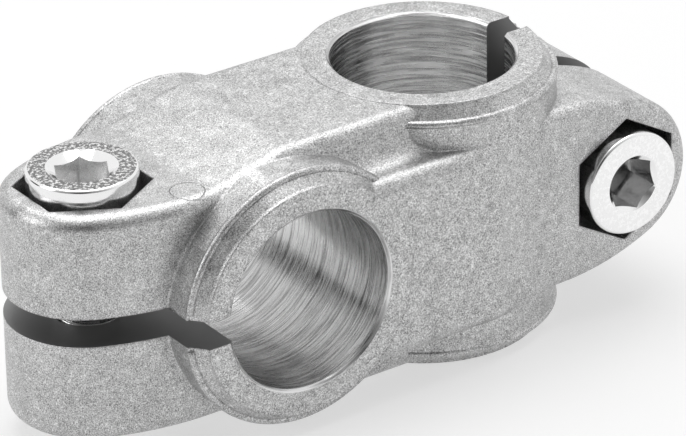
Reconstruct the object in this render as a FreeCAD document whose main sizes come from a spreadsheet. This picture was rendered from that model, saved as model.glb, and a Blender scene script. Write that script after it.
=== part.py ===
import FreeCAD, Part
import math
import os
import re

import Sketcher
from FreeCAD import Vector

# Crossed tube connector: a cast clamp with a level bore along Y and an upright bore along Z,
# each split by a slit and closed by a cap screw and a nut through its own lug.
# Frame: origin midway between the two bore axes, X along the body, Z up, millimetres.
# The level bore lies at minus X, the upright bore at plus X. Half a turn about the diagonal
# (0, 1, -1) carries the casting, and each screw and nut, onto the other half.

# Driving dimensions, in millimetres and degrees.
SIZES = {
    # Tube bores and the barrels around them
    "bore_diameter": 22.0,
    "axis_spacing": 28.2,
    "bore_chamfer": 0.4,
    "barrel_length": 34.0,
    "barrel_wall": 4.9,
    "ring_flat": 3.3,
    "ring_step": 0.3,
    "collar_depth": 1.65,
    "collar_ledge": 0.3,
    # Decks that bridge the barrels, and the ramps down to the lugs
    "deck_width": 23.4,
    "deck_drop": 0.15,
    "ramp_head": 1.4,
    "ramp_foot": 9.4,
    "ramp_round": 5.5,
    "valley_round": 2.75,
    "rim_round": 1.75,
    # Lugs and slits
    "lug_thickness": 28.6,
    "lug_end_radius": 9.7,
    "flank_start": 10.2,
    "screw_offset": 19.5,
    "slit_width": 3.5,
    # Cap screw
    "thread_diameter": 8.0,
    "shank_length": 20.0,
    "tip_chamfer": 1.0,
    "head_diameter": 13.0,
    "head_height": 8.0,
    "head_chamfer": 0.5,
    "socket_width": 6.0,
    "socket_depth": 4.4,
    "socket_chamfer": 0.5,
    "drill_point": 1.0,
    # Nut
    "nut_width": 13.0,
    "nut_height": 6.5,
    "nut_chamfer_angle": 30.0,
    # Fits and seats
    "head_pocket_clearance": 1.0,
    "nut_pocket_clearance": 1.0,
    "hole_clearance": 1.0,
    "thread_clearance": 0.1,
    "head_stand": 1.0,
    "nut_recess": 1.0,
    # How far each screw happens to be turned
    "level_screw_turn": 40.0,
    "upright_screw_turn": 11.0,
}

# How far a cutting profile runs past the material, so that no two faces coincide.
OVERRUN = 5.0

document = FreeCAD.newDocument("TubeConnector")
sheet = document.addObject("Spreadsheet::Sheet", "Sizes")
for row, (alias, value) in enumerate(SIZES.items(), start=1):
    sheet.set(f"A{row}", alias)
    sheet.set(f"B{row}", str(value))
    sheet.setAlias(f"B{row}", alias)
document.recompute()


def size(alias):
    """Return the value of one driving dimension from the sheet."""
    return float(sheet.get(alias))


def sheet_words(expression):
    """Put the sheet's name before every alias in an expression."""
    return re.sub(r"[a-z_]+", lambda word: f"Sizes.{word[0]}" if word[0] in SIZES else word[0], expression)


# Sketches


def new_sketch(body, name, plane_role):
    """Make a sketch on one of the body's own origin planes."""
    sketch = body.newObject("Sketcher::SketchObject", name)
    plane = next(item for item in body.Origin.OriginFeatures if item.Role == plane_role)
    sketch.AttachmentSupport = [(plane, "")]
    sketch.MapMode = "FlatFace"
    return sketch


def shift(sketch, axis, expression):
    """Move a sketch on its plane, or off it, by a bound distance."""
    sketch.setExpression(f"AttachmentOffset.Base.{axis}", sheet_words(expression))


def line(sketch, start, end, construction=False):
    """Add a line between two (x, y) points and return its index."""
    segment = Part.LineSegment(Vector(*start, 0), Vector(*end, 0))
    return sketch.addGeometry(segment, construction)


def polyline(sketch, points):
    """Add a closed chain of lines and return their indices."""
    pairs = list(zip(points, points[1:] + points[:1]))
    chain = [line(sketch, start, end) for start, end in pairs]
    for edge, following in zip(chain, chain[1:] + chain[:1]):
        join(sketch, edge, 2, following, 1)
    return chain


def circle(sketch, radius, expression, construction=False):
    """Add a circle about the sketch's origin with a bound radius."""
    ring = sketch.addGeometry(Part.Circle(Vector(0, 0, 0), Vector(0, 0, 1), radius), construction)
    sketch.addConstraint(Sketcher.Constraint("Coincident", ring, 3, -1, 1))
    bind(sketch, "Radius", (ring,), radius, expression)
    return ring


def arc(sketch, centre, radius, start_degrees, end_degrees):
    """Add an arc that runs anticlockwise and return its index."""
    ring = Part.Circle(Vector(*centre, 0), Vector(0, 0, 1), radius)
    span = Part.ArcOfCircle(ring, math.radians(start_degrees), math.radians(end_degrees))
    return sketch.addGeometry(span, False)


def join(sketch, first, first_end, second, second_end, kind="Coincident"):
    """Join two ends, as a corner or as a tangent."""
    sketch.addConstraint(Sketcher.Constraint(kind, first, first_end, second, second_end))


def direct(sketch, kind, *edges):
    """Make edges horizontal or vertical."""
    for edge in edges:
        sketch.addConstraint(Sketcher.Constraint(kind, edge))


def bind(sketch, kind, references, value, expression):
    """Add a dimension and bind it to the sheet."""
    index = sketch.addConstraint(Sketcher.Constraint(kind, *references, value))
    name = f"{kind}{index}"
    sketch.renameConstraint(index, name)
    sketch.setExpression(f"Constraints.{name}", sheet_words(expression))


def place_x(sketch, edge, end, value, expression):
    """Bind the distance of a point from the vertical axis; a negative value lies left of it."""
    references = (-1, 1, edge, end) if value >= 0 else (edge, end, -1, 1)
    bind(sketch, "DistanceX", references, abs(value), expression)


def place_y(sketch, edge, end, value, expression):
    """Bind the distance of a point from the horizontal axis; a negative value lies below it."""
    references = (-1, 1, edge, end) if value >= 0 else (edge, end, -1, 1)
    bind(sketch, "DistanceY", references, abs(value), expression)


def mirror_points(sketch, first, first_end, second, second_end):
    """Keep two points mirrored across the horizontal axis."""
    sketch.addConstraint(Sketcher.Constraint("Symmetric", first, first_end, second, second_end, -1))


def hexagon(sketch, width, expression):
    """Draw a regular hexagon about the origin, with two flats facing plus and minus X."""
    corner_radius = width / math.sqrt(3)
    corners = []
    for step in range(6):
        angle = math.radians(90 + 60 * step)
        corners.append((corner_radius * math.cos(angle), corner_radius * math.sin(angle)))
    sides = polyline(sketch, corners)
    ring = circle(sketch, corner_radius, f"({expression}) / sqrt(3)", construction=True)
    for side in sides:
        sketch.addConstraint(Sketcher.Constraint("PointOnObject", side, 1, ring))
    for side in sides[1:]:
        sketch.addConstraint(Sketcher.Constraint("Equal", sides[0], side))
    sketch.addConstraint(Sketcher.Constraint("PointOnObject", sides[0], 1, -2))


# Features


def pad(body, name, sketch, expression):
    """Pad a sketch equally to both sides of its plane."""
    feature = body.newObject("PartDesign::Pad", name)
    feature.Profile = sketch
    feature.Midplane = True
    feature.setExpression("Length", sheet_words(expression))
    return feature


def pocket_through(body, name, sketch, sides="both"):
    """Cut a sketch right through to both sides of its plane, or only above or below it."""
    feature = body.newObject("PartDesign::Pocket", name)
    feature.Profile = sketch
    feature.Type = "ThroughAll"
    feature.Midplane = sides == "both"
    feature.Reversed = sides == "above"
    return feature


def revolve(body, kind, name, sketch):
    """Turn a sketch round its own vertical axis, as added or as removed material."""
    feature = body.newObject(f"PartDesign::{kind}", name)
    feature.Profile = sketch
    feature.ReferenceAxis = (sketch, ["V_Axis"])
    feature.Angle = 360
    return feature


def half_turn(body, name, axis_sketch, originals=None):
    """Repeat the whole shape, or the named features, by half a turn about the diagonal."""
    document.recompute()
    feature = body.newObject("PartDesign::PolarPattern", name)
    if originals is None:
        feature.TransformMode = "Whole shape"
    else:
        feature.Originals = originals
    feature.Axis = (axis_sketch, ["Axis0"])
    feature.Angle = 360
    feature.Occurrences = 2
    body.Tip = feature
    return feature


def fillet(body, name, base, edge_test, expression):
    """Round the edges of the base feature that pass a test."""
    document.recompute()
    edges = [f"Edge{i}" for i, edge in enumerate(base.Shape.Edges, start=1) if edge_test(edge)]
    feature = body.newObject("PartDesign::Fillet", name)
    feature.Base = (base, edges)
    feature.setExpression("Radius", sheet_words(expression))
    return feature


def middle(edge):
    """Return the point halfway along an edge."""
    return edge.valueAt((edge.FirstParameter + edge.LastParameter) / 2)


def near(first, second):
    """Tell whether two lengths agree closely."""
    return abs(first - second) < 0.01


# Casting


def draw_side(body):
    """Draw the side view of one half: deck, ramp and lug, the same above and below."""
    deck = size("barrel_length") / 2 - size("deck_drop")
    lug = size("lug_thickness") / 2
    bore_x = size("axis_spacing") / 2
    head_x = size("ramp_head") - bore_x
    foot_x = -size("ramp_foot") - bore_x
    left = -bore_x - size("screw_offset") - size("lug_end_radius") - OVERRUN
    bend = size("ramp_round")
    slope = math.degrees(2 * math.atan((deck - lug) / (head_x - foot_x)))
    turn = slope / 2 * 1.1
    tilt = math.radians(turn)
    upper = (head_x - bend * math.sin(tilt), deck - bend * (1 - math.cos(tilt)))
    lower = (foot_x + bend * math.sin(tilt), lug + bend * (1 - math.cos(tilt)))

    sketch = new_sketch(body, "SideOutline", "XZ_Plane")
    right_end = line(sketch, (bore_x, -deck), (bore_x, deck))
    top = line(sketch, (bore_x, deck), (head_x, deck))
    top_bend = arc(sketch, (head_x, deck - bend), bend, 90, 90 + turn)
    top_ramp = line(sketch, upper, lower)
    top_foot = arc(sketch, (foot_x, lug + bend), bend, 270, 270 + turn)
    lug_top = line(sketch, (foot_x, lug), (left, lug))
    left_end = line(sketch, (left, lug), (left, -lug))
    lug_base = line(sketch, (left, -lug), (foot_x, -lug))
    base_foot = arc(sketch, (foot_x, -lug - bend), bend, 90 - turn, 90)
    base_ramp = line(sketch, (lower[0], -lower[1]), (upper[0], -upper[1]))
    base_bend = arc(sketch, (head_x, bend - deck), bend, 270 - turn, 270)
    base = line(sketch, (head_x, -deck), (bore_x, -deck))

    join(sketch, right_end, 2, top, 1)
    join(sketch, top, 2, top_bend, 1, "Tangent")
    join(sketch, top_bend, 2, top_ramp, 1, "Tangent")
    join(sketch, top_ramp, 2, top_foot, 2, "Tangent")
    join(sketch, top_foot, 1, lug_top, 1, "Tangent")
    join(sketch, lug_top, 2, left_end, 1)
    join(sketch, left_end, 2, lug_base, 1)
    join(sketch, lug_base, 2, base_foot, 2, "Tangent")
    join(sketch, base_foot, 1, base_ramp, 1, "Tangent")
    join(sketch, base_ramp, 2, base_bend, 1, "Tangent")
    join(sketch, base_bend, 2, base, 1, "Tangent")
    join(sketch, base, 2, right_end, 1)
    direct(sketch, "Vertical", right_end, left_end)
    direct(sketch, "Horizontal", top, lug_top, lug_base, base)
    for bend_arc in (top_foot, base_foot, base_bend):
        sketch.addConstraint(Sketcher.Constraint("Equal", top_bend, bend_arc))
    mirror_points(sketch, top, 2, base, 1)
    mirror_points(sketch, lug_top, 1, lug_base, 2)
    place_x(sketch, right_end, 2, bore_x, "axis_spacing / 2")
    place_y(sketch, top, 1, deck, "barrel_length / 2 - deck_drop")
    place_y(sketch, lug_top, 1, lug, "lug_thickness / 2")
    place_x(sketch, top, 2, head_x, "axis_spacing / 2 - ramp_head")
    place_x(sketch, lug_top, 1, foot_x, "axis_spacing / 2 + ramp_foot")
    reach = f"axis_spacing / 2 + screw_offset + lug_end_radius + {OVERRUN}"
    place_x(sketch, lug_top, 2, left, reach)
    bind(sketch, "Radius", (top_bend,), bend, "ramp_round")
    return sketch


def draw_plan_surround(body):
    """Draw what lies outside the plan view of deck and lug: a frame round their outline."""
    bore_x = size("axis_spacing") / 2
    half_width = size("deck_width") / 2
    screw_x = -bore_x - size("screw_offset")
    flank_x = -bore_x - size("flank_start")
    end_radius = size("lug_end_radius")
    left = screw_x - end_radius - 2 * OVERRUN
    right = bore_x + 2 * OVERRUN
    high = max(half_width, end_radius) + 2 * OVERRUN
    along = flank_x - screw_x
    flank_radius = (along**2 + half_width**2 - end_radius**2) / (2 * (half_width - end_radius))
    centre_y = half_width - flank_radius
    meeting = math.degrees(math.atan2(-centre_y, screw_x - flank_x))

    sketch = new_sketch(body, "PlanSurround", "XY_Plane")
    frame = polyline(sketch, [(left, -high), (right, -high), (right, high), (left, high)])
    direct(sketch, "Horizontal", frame[0], frame[2])
    direct(sketch, "Vertical", frame[3])
    mirror_points(sketch, frame[1], 1, frame[1], 2)
    place_x(sketch, frame[1], 1, right, f"axis_spacing / 2 + {2 * OVERRUN}")
    reach = f"axis_spacing / 2 + screw_offset + lug_end_radius + {2 * OVERRUN}"
    place_x(sketch, frame[3], 1, left, reach)
    place_y(sketch, frame[1], 2, high, f"max(deck_width / 2; lug_end_radius) + {2 * OVERRUN}")

    inner = bore_x + OVERRUN
    right_end = line(sketch, (inner, -half_width), (inner, half_width))
    top = line(sketch, (inner, half_width), (flank_x, half_width))
    top_flank = arc(sketch, (flank_x, centre_y), flank_radius, 90, meeting)
    end = arc(sketch, (screw_x, 0), end_radius, meeting, 360 - meeting)
    base_flank = arc(sketch, (flank_x, -centre_y), flank_radius, 360 - meeting, 270)
    base = line(sketch, (flank_x, -half_width), (inner, -half_width))
    join(sketch, right_end, 2, top, 1)
    join(sketch, top, 2, top_flank, 1, "Tangent")
    join(sketch, top_flank, 2, end, 1, "Tangent")
    join(sketch, end, 2, base_flank, 1, "Tangent")
    join(sketch, base_flank, 2, base, 1, "Tangent")
    join(sketch, base, 2, right_end, 1)
    direct(sketch, "Vertical", right_end)
    direct(sketch, "Horizontal", top, base)
    mirror_points(sketch, top, 2, base, 1)
    sketch.addConstraint(Sketcher.Constraint("PointOnObject", end, 3, -1))
    place_x(sketch, right_end, 1, inner, f"axis_spacing / 2 + {OVERRUN}")
    place_y(sketch, top, 1, half_width, "deck_width / 2")
    place_x(sketch, top, 2, flank_x, "axis_spacing / 2 + flank_start")
    place_x(sketch, end, 3, screw_x, "axis_spacing / 2 + screw_offset")
    bind(sketch, "Radius", (end,), end_radius, "lug_end_radius")
    return sketch


def draw_barrel(body):
    """Draw half the section of a barrel: end ring, small step, bevel, narrow ledge and wall."""
    flat = size("bore_diameter") / 2 + size("ring_flat")
    wall = size("bore_diameter") / 2 + size("barrel_wall")
    face = size("barrel_length") / 2
    step = face - size("ring_step")
    bevel = wall - size("collar_ledge")
    ledge = step - size("collar_depth")
    corners = [(flat, face), (flat, step), (bevel, ledge), (wall, ledge)]
    mirrored = [(x, -y) for x, y in reversed(corners)]

    sketch = new_sketch(body, "BarrelSection", "XY_Plane")
    shift(sketch, "x", "-axis_spacing / 2")
    top, *upper, side = polyline(sketch, [(0, face), *corners, *mirrored, (0, -face)])[: len(corners) + 1]
    lower = [side + 1 + index for index in range(len(upper))]
    base = lower[-1] + 1
    axis = base + 1
    direct(sketch, "Horizontal", top)
    sketch.addConstraint(Sketcher.Constraint("PointOnObject", axis, 2, -2))
    mirror_points(sketch, axis, 1, axis, 2)
    for high, low in zip(upper, reversed(lower)):
        mirror_points(sketch, high, 1, low, 2)
    mirror_points(sketch, side, 1, side, 2)
    place_y(sketch, axis, 2, face, "barrel_length / 2")
    place_x(sketch, top, 2, flat, "bore_diameter / 2 + ring_flat")
    place_x(sketch, upper[0], 2, flat, "bore_diameter / 2 + ring_flat")
    place_y(sketch, upper[0], 2, step, "barrel_length / 2 - ring_step")
    place_x(sketch, upper[1], 2, bevel, "bore_diameter / 2 + barrel_wall - collar_ledge")
    place_y(sketch, upper[1], 2, ledge, "barrel_length / 2 - ring_step - collar_depth")
    direct(sketch, "Horizontal", upper[2])
    place_x(sketch, upper[2], 2, wall, "bore_diameter / 2 + barrel_wall")
    return sketch


def draw_diagonal(body):
    """Draw the diagonal that carries one half of the casting onto the other."""
    sketch = new_sketch(body, "Diagonal", "YZ_Plane")
    diagonal = line(sketch, (0, 0), (1, -1), construction=True)
    join(sketch, diagonal, 1, -1, 1)
    for kind, references in (("DistanceX", (-1, 1, diagonal, 2)), ("DistanceY", (diagonal, 2, -1, 1))):
        sketch.addConstraint(Sketcher.Constraint(kind, *references, 1.0))
    return sketch


def draw_valleys(body):
    """Draw what rounds the four inner corners where one deck's wall meets the other deck."""
    corner = size("deck_width") / 2
    turn = size("valley_round")
    overlap = 1.0
    sketch = new_sketch(body, "ValleySection", "YZ_Plane")
    for across, up, first_angle in ((1, 1, 180), (-1, 1, 270), (-1, -1, 0), (1, -1, 90)):
        near_y = across * (corner - overlap)
        near_z = up * (corner - overlap)
        far_y = across * (corner + turn)
        far_z = up * (corner + turn)
        centre = (far_y, far_z)
        bend = arc(sketch, centre, turn, first_angle, first_angle + 90)
        top_end, side_end = (1, 2) if across * up > 0 else (2, 1)
        top = line(sketch, (across * corner, far_z), (near_y, far_z))
        inner = line(sketch, (near_y, far_z), (near_y, near_z))
        base = line(sketch, (near_y, near_z), (far_y, near_z))
        side = line(sketch, (far_y, near_z), (far_y, up * corner))
        join(sketch, bend, top_end, top, 1)
        join(sketch, top, 2, inner, 1)
        join(sketch, inner, 2, base, 1)
        join(sketch, base, 2, side, 1)
        join(sketch, side, 2, bend, side_end)
        direct(sketch, "Horizontal", top, base)
        direct(sketch, "Vertical", inner, side)
        join(sketch, bend, 3, bend, top_end, "Horizontal")
        join(sketch, bend, 3, bend, side_end, "Vertical")
        bind(sketch, "Radius", (bend,), turn, "valley_round")
        place_x(sketch, top, 1, across * corner, "deck_width / 2")
        place_y(sketch, side, 2, up * corner, "deck_width / 2")
        place_x(sketch, inner, 2, near_y, f"deck_width / 2 - {overlap}")
        place_y(sketch, inner, 2, near_z, f"deck_width / 2 - {overlap}")
    return sketch


def draw_bore(body):
    """Draw half the section of what the reamer and the countersink take out of a barrel."""
    radius = size("bore_diameter") / 2
    face = size("barrel_length") / 2
    chamfer = size("bore_chamfer")
    end = face + OVERRUN
    mouth = radius + chamfer + OVERRUN

    sketch = new_sketch(body, "BoreSection", "XY_Plane")
    shift(sketch, "x", "-axis_spacing / 2")
    corners = [
        (0, -end),
        (mouth, -end),
        (radius, chamfer - face),
        (radius, face - chamfer),
        (mouth, end),
        (0, end),
    ]
    base, base_cone, wall, top_cone, top, axis = polyline(sketch, corners)
    direct(sketch, "Horizontal", top)
    sketch.addConstraint(Sketcher.Constraint("PointOnObject", axis, 1, -2))
    mirror_points(sketch, axis, 1, axis, 2)
    mirror_points(sketch, wall, 1, wall, 2)
    mirror_points(sketch, base, 2, top, 1)
    place_x(sketch, wall, 1, radius, "bore_diameter / 2")
    place_y(sketch, wall, 2, face - chamfer, "barrel_length / 2 - bore_chamfer")
    place_x(sketch, top, 1, mouth, f"bore_diameter / 2 + bore_chamfer + {OVERRUN}")
    place_y(sketch, top, 1, end, f"barrel_length / 2 + {OVERRUN}")
    return sketch


def draw_slit(body):
    """Draw the slit from the level bore's axis out past the end of its lug."""
    bore_x = size("axis_spacing") / 2
    left = -bore_x - size("screw_offset") - size("lug_end_radius") - OVERRUN
    half = size("slit_width") / 2
    sketch = new_sketch(body, "SlitOutline", "XZ_Plane")
    corners = [(left, -half), (-bore_x, -half), (-bore_x, half), (left, half)]
    base, inner, top, outer = polyline(sketch, corners)
    direct(sketch, "Horizontal", base, top)
    direct(sketch, "Vertical", outer)
    mirror_points(sketch, inner, 1, inner, 2)
    place_x(sketch, inner, 1, -bore_x, "axis_spacing / 2")
    reach = f"axis_spacing / 2 + screw_offset + lug_end_radius + {OVERRUN}"
    place_x(sketch, outer, 1, left, reach)
    place_y(sketch, inner, 2, half, "slit_width / 2")
    return sketch


def over_screw(sketch):
    """Centre a sketch on the axis of the upright screw hole in the left lug."""
    shift(sketch, "x", "-axis_spacing / 2 - screw_offset")


def draw_pocket(body, name, seat_expression, fastener_width, clearance):
    """Draw the hexagonal pocket for a head or a nut, whose floor lies at the given height."""
    sketch = new_sketch(body, name, "XY_Plane")
    over_screw(sketch)
    shift(sketch, "z", seat_expression)
    hexagon(sketch, size(fastener_width) + size(clearance), f"{fastener_width} + {clearance}")
    return sketch


def draw_screw_hole(body):
    """Draw the clearance hole that both fingers of the lug have for the shank."""
    sketch = new_sketch(body, "ScrewHole", "XY_Plane")
    over_screw(sketch)
    radius = (size("thread_diameter") + size("hole_clearance")) / 2
    circle(sketch, radius, "(thread_diameter + hole_clearance) / 2")
    return sketch


HEAD_SEAT = "lug_thickness / 2 + head_stand - head_height"
NUT_SEAT = "-lug_thickness / 2 + nut_recess + nut_height"


def is_rim(edge):
    """Tell whether an edge is the upper or lower rim of the lug's rounded end."""
    point = middle(edge)
    at_face = near(abs(point.z), size("lug_thickness") / 2)
    at_end = point.x < -size("axis_spacing") / 2 - size("screw_offset")
    return at_face and at_end


def make_clamp_body():
    """Build the casting: one half, its twin by half a turn, then what is machined out of it."""
    body = document.addObject("PartDesign::Body", "clamp_body")
    body.Label = "clamp_body"
    head_sizes = ("head_diameter", "head_pocket_clearance")
    nut_sizes = ("nut_width", "nut_pocket_clearance")
    widest = f"2 * max(deck_width / 2; lug_end_radius) + {2 * OVERRUN}"
    pad(body, "DeckAndLug", draw_side(body), widest)
    trimmed = pocket_through(body, "PlanTrim", draw_plan_surround(body))
    fillet(body, "RimRound", trimmed, is_rim, "rim_round")
    revolve(body, "Revolution", "Barrel", draw_barrel(body))
    diagonal = draw_diagonal(body)
    half_turn(body, "OtherHalf", diagonal)
    pad(body, "ValleyFill", draw_valleys(body), "axis_spacing")
    bore = revolve(body, "Groove", "Bore", draw_bore(body))
    slit = pocket_through(body, "Slit", draw_slit(body))
    head_outline = draw_pocket(body, "HeadPocketOutline", HEAD_SEAT, *head_sizes)
    nut_outline = draw_pocket(body, "NutPocketOutline", NUT_SEAT, *nut_sizes)
    machining = [
        bore,
        slit,
        pocket_through(body, "HeadPocket", head_outline, "above"),
        pocket_through(body, "NutPocket", nut_outline, "below"),
        pocket_through(body, "ShankHole", draw_screw_hole(body)),
    ]
    half_turn(body, "OtherMachining", diagonal, machining)
    return body


# Fasteners


def place_fastener(body, half, seat_expression, turn_expression="0"):
    """Put a fastener on its seat: upright in the left lug, or its twin in the right one."""
    if half == "level":
        body.Placement.Rotation = FreeCAD.Rotation(Vector(0, 0, 1), 0)
        body.setExpression("Placement.Base.x", sheet_words("-axis_spacing / 2 - screw_offset"))
        body.setExpression("Placement.Base.z", sheet_words(seat_expression))
    else:
        body.Placement.Rotation = FreeCAD.Rotation(Vector(0, 1, -1), 180)
        body.setExpression("Placement.Base.x", sheet_words("axis_spacing / 2 + screw_offset"))
        body.setExpression("Placement.Base.y", sheet_words(f"-({seat_expression})"))


def draw_screw(body):
    """Draw half the section of a cap screw, with the underside of its head at height zero."""
    head = size("head_diameter") / 2
    top = size("head_height")
    crown = size("head_chamfer")
    shank = size("thread_diameter") / 2
    tip = -size("shank_length")
    chamfer = size("tip_chamfer")

    sketch = new_sketch(body, "ScrewSection", "XZ_Plane")
    axis = line(sketch, (0, tip), (0, top))
    face = line(sketch, (0, top), (head - crown, top))
    edge = line(sketch, (head - crown, top), (head, top - crown))
    side = line(sketch, (head, top - crown), (head, 0))
    under = line(sketch, (head, 0), (shank, 0))
    thread = line(sketch, (shank, 0), (shank, tip + chamfer))
    bevel = line(sketch, (shank, tip + chamfer), (shank - chamfer, tip))
    end = line(sketch, (shank - chamfer, tip), (0, tip))
    join(sketch, axis, 2, face, 1)
    join(sketch, face, 2, edge, 1)
    join(sketch, edge, 2, side, 1)
    join(sketch, side, 2, under, 1)
    join(sketch, under, 2, thread, 1)
    join(sketch, thread, 2, bevel, 1)
    join(sketch, bevel, 2, end, 1)
    join(sketch, end, 2, axis, 1)
    direct(sketch, "Vertical", axis, side, thread)
    direct(sketch, "Horizontal", face, under, end)
    sketch.addConstraint(Sketcher.Constraint("PointOnObject", axis, 1, -2))
    sketch.addConstraint(Sketcher.Constraint("PointOnObject", under, 1, -1))
    place_y(sketch, axis, 2, top, "head_height")
    place_x(sketch, side, 1, head, "head_diameter / 2")
    bind(sketch, "DistanceX", (edge, 1, edge, 2), crown, "head_chamfer")
    bind(sketch, "DistanceY", (edge, 2, edge, 1), crown, "head_chamfer")
    place_x(sketch, thread, 1, shank, "thread_diameter / 2")
    place_y(sketch, axis, 1, tip, "shank_length")
    bind(sketch, "DistanceX", (bevel, 2, bevel, 1), chamfer, "tip_chamfer")
    bind(sketch, "DistanceY", (bevel, 2, bevel, 1), chamfer, "tip_chamfer")
    return sketch


def draw_socket_turning(body):
    """Draw the cone that eases the socket's mouth, above the head's face and below it."""
    face = size("head_height")
    corner = size("socket_width") / math.sqrt(3)
    chamfer = size("socket_chamfer")
    sketch = new_sketch(body, "SocketMouth", "XZ_Plane")
    corners = [(0, face - chamfer), (corner, face - chamfer), (corner + chamfer, face), (0, face)]
    floor, cone, mouth, axis = polyline(sketch, corners)
    direct(sketch, "Horizontal", floor, mouth)
    direct(sketch, "Vertical", axis)
    sketch.addConstraint(Sketcher.Constraint("PointOnObject", axis, 1, -2))
    place_y(sketch, axis, 1, face, "head_height")
    place_x(sketch, cone, 1, corner, "socket_width / sqrt(3)")
    bind(sketch, "DistanceX", (cone, 1, cone, 2), chamfer, "socket_chamfer")
    bind(sketch, "DistanceY", (cone, 1, cone, 2), chamfer, "socket_chamfer")
    return sketch


def draw_drill_point(body):
    """Draw the shallow cone that the drill leaves under the hexagonal socket."""
    radius = size("socket_width") / 2
    floor = size("head_height") - size("socket_depth")
    depth = size("drill_point")
    sketch = new_sketch(body, "DrillPoint", "XZ_Plane")
    corners = [(0, floor - depth), (radius, floor), (radius, floor + depth), (0, floor + depth)]
    cone, wall, top, axis = polyline(sketch, corners)
    direct(sketch, "Horizontal", top)
    direct(sketch, "Vertical", wall, axis)
    sketch.addConstraint(Sketcher.Constraint("PointOnObject", axis, 1, -2))
    place_x(sketch, wall, 1, radius, "socket_width / 2")
    place_y(sketch, wall, 1, floor, "head_height - socket_depth")
    bind(sketch, "DistanceY", (cone, 1, cone, 2), depth, "drill_point")
    bind(sketch, "DistanceY", (wall, 1, wall, 2), depth, "drill_point")
    return sketch


def make_screw(name, half, turn_alias):
    """Build one cap screw: turned head and shank, drilled and broached hexagonal socket."""
    body = document.addObject("PartDesign::Body", name)
    body.Label = name
    revolve(body, "Revolution", "HeadAndShank", draw_screw(body))
    socket = new_sketch(body, "SocketOutline", "XY_Plane")
    shift(socket, "z", "head_height - socket_depth")
    socket.setExpression("AttachmentOffset.Rotation.Angle", sheet_words(turn_alias))
    hexagon(socket, size("socket_width"), "socket_width")
    pocket_through(body, "Socket", socket, "above")
    revolve(body, "Groove", "SocketEase", draw_socket_turning(body))
    revolve(body, "Groove", "DrilledPoint", draw_drill_point(body))
    place_fastener(body, half, HEAD_SEAT)
    return body


def draw_nut_chamfer(body):
    """Draw what the 30 degree chamfers take off the nut's corners, at both faces."""
    flat = size("nut_width") / 2
    height = size("nut_height")
    outer = size("nut_width") / math.sqrt(3) + OVERRUN
    fall = math.tan(math.radians(size("nut_chamfer_angle")))
    sketch = new_sketch(body, "CornerChamfer", "XZ_Plane")
    high = [(flat, 0), (outer, 0), (outer, -(outer - flat) * fall)]
    low = [(flat, -height), (outer, -height), (outer, (outer - flat) * fall - height)]
    run = f"nut_width / sqrt(3) + {OVERRUN}"
    for level, corners in (("high", high), ("low", low)):
        face, edge, cone = polyline(sketch, corners)
        direct(sketch, "Horizontal", face)
        direct(sketch, "Vertical", edge)
        place_x(sketch, face, 1, flat, "nut_width / 2")
        place_x(sketch, face, 2, outer, run)
        drop = f"({run} - nut_width / 2) * tan(nut_chamfer_angle * 1deg)"
        if level == "high":
            sketch.addConstraint(Sketcher.Constraint("PointOnObject", face, 1, -1))
            bind(sketch, "DistanceY", (edge, 2, edge, 1), (outer - flat) * fall, drop)
        else:
            place_y(sketch, face, 1, -height, "nut_height")
            bind(sketch, "DistanceY", (edge, 1, edge, 2), (outer - flat) * fall, drop)
    return sketch


def draw_nut_bore(body):
    """Draw half the section of the nut's bore, with its countersinks."""
    radius = (size("thread_diameter") + size("thread_clearance")) / 2
    height = size("nut_height")
    chamfer = size("bore_chamfer")
    sketch = new_sketch(body, "NutBoreSection", "XZ_Plane")
    corners = [
        (0, -height),
        (radius + chamfer, -height),
        (radius, chamfer - height),
        (radius, -chamfer),
        (radius + chamfer, 0),
        (0, 0),
    ]
    base, base_cone, wall, top_cone, top, axis = polyline(sketch, corners)
    direct(sketch, "Horizontal", base)
    direct(sketch, "Vertical", wall, axis)
    sketch.addConstraint(Sketcher.Constraint("PointOnObject", top, 1, -1))
    sketch.addConstraint(Sketcher.Constraint("Coincident", axis, 1, -1, 1))
    place_x(sketch, wall, 1, radius, "(thread_diameter + thread_clearance) / 2")
    place_y(sketch, axis, 2, -height, "nut_height")
    for cone, first, second in ((base_cone, 2, 1), (top_cone, 1, 2)):
        bind(sketch, "DistanceX", (cone, first, cone, second), chamfer, "bore_chamfer")
    bind(sketch, "DistanceY", (base_cone, 1, base_cone, 2), chamfer, "bore_chamfer")
    bind(sketch, "DistanceY", (top_cone, 1, top_cone, 2), chamfer, "bore_chamfer")
    return sketch


def make_nut(name, half):
    """Build one hexagonal nut, with its bearing face at height zero and its body below it."""
    body = document.addObject("PartDesign::Body", name)
    body.Label = name
    outline = new_sketch(body, "NutOutline", "XY_Plane")
    shift(outline, "z", "-nut_height / 2")
    hexagon(outline, size("nut_width"), "nut_width")
    pad(body, "Hexagon", outline, "nut_height")
    revolve(body, "Groove", "Corners", draw_nut_chamfer(body))
    revolve(body, "Groove", "ThreadBore", draw_nut_bore(body))
    place_fastener(body, half, NUT_SEAT)
    return body


pieces = [
    make_clamp_body(),
    make_screw("level_clamp_screw", "level", "level_screw_turn"),
    make_screw("upright_clamp_screw", "upright", "upright_screw_turn"),
    make_nut("level_clamp_nut", "level"),
    make_nut("upright_clamp_nut", "upright"),
]
document.recompute()

for item in document.Objects:
    if "Invalid" in item.State or "Error" in item.State:
        raise RuntimeError(f"{item.Label} failed: {item.State}")

os.makedirs("parts", exist_ok=True)
for piece in pieces:
    shape = piece.Shape
    if shape.isNull() or not shape.isValid() or len(shape.Solids) != 1:
        raise RuntimeError(f"{piece.Label} has no valid single solid")
    shape.exportStep(f"parts/{piece.Label}.step")
    print(f"{piece.Label}: {shape.Volume:.1f} mm3, {len(shape.Faces)} faces")
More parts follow.
